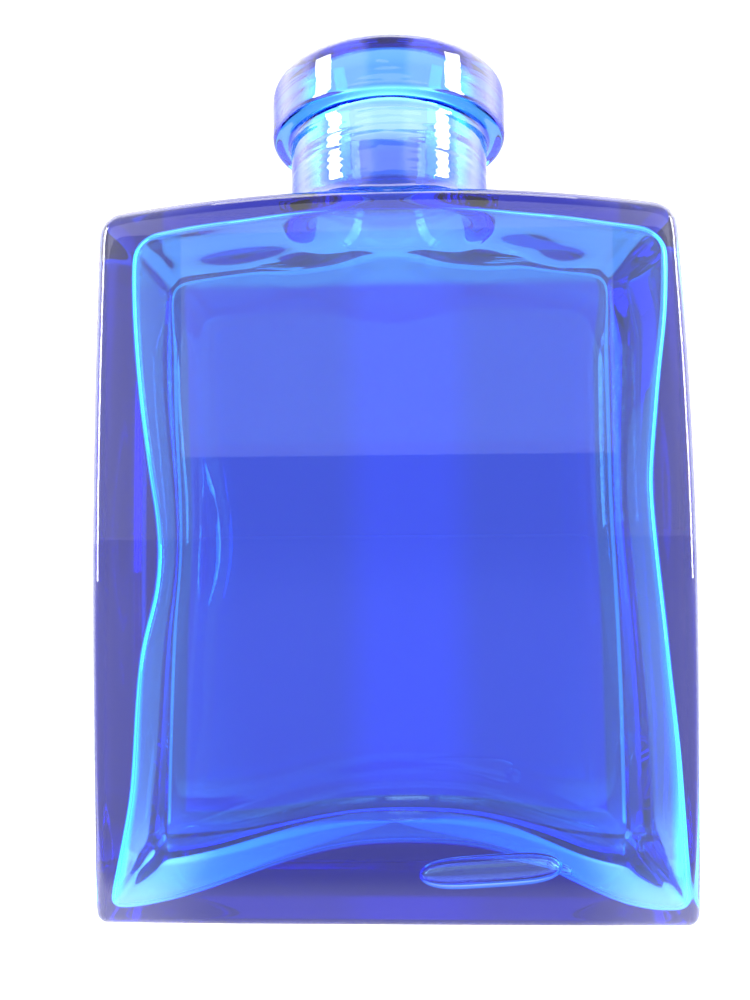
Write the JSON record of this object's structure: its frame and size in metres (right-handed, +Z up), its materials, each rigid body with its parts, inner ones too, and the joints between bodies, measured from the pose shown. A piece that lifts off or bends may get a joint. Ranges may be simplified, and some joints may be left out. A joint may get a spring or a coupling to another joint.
{
  "type": "flat rectangular glass bottle",
  "caption": "Flat rectangular cobalt glass flask with a short neck, a rolled collar lip and a straight cork bore; hollow, open at the mouth, moulded as one piece.",
  "frame": {"origin": "centre of the flat base", "axes": "+Z up the axis of the neck to the mouth, X across the width, +Y towards the back face; the front face looks towards -Y"},
  "size_m": [0.08, 0.0352, 0.1176],
  "materials": {
    "cobalt_glass": "clear, deep cobalt blue, fire polished, with drawn mould ripples on the neck"
  },
  "bodies": {
    "root": {"bottle": "cobalt_glass"}
  },
  "joints": []
}
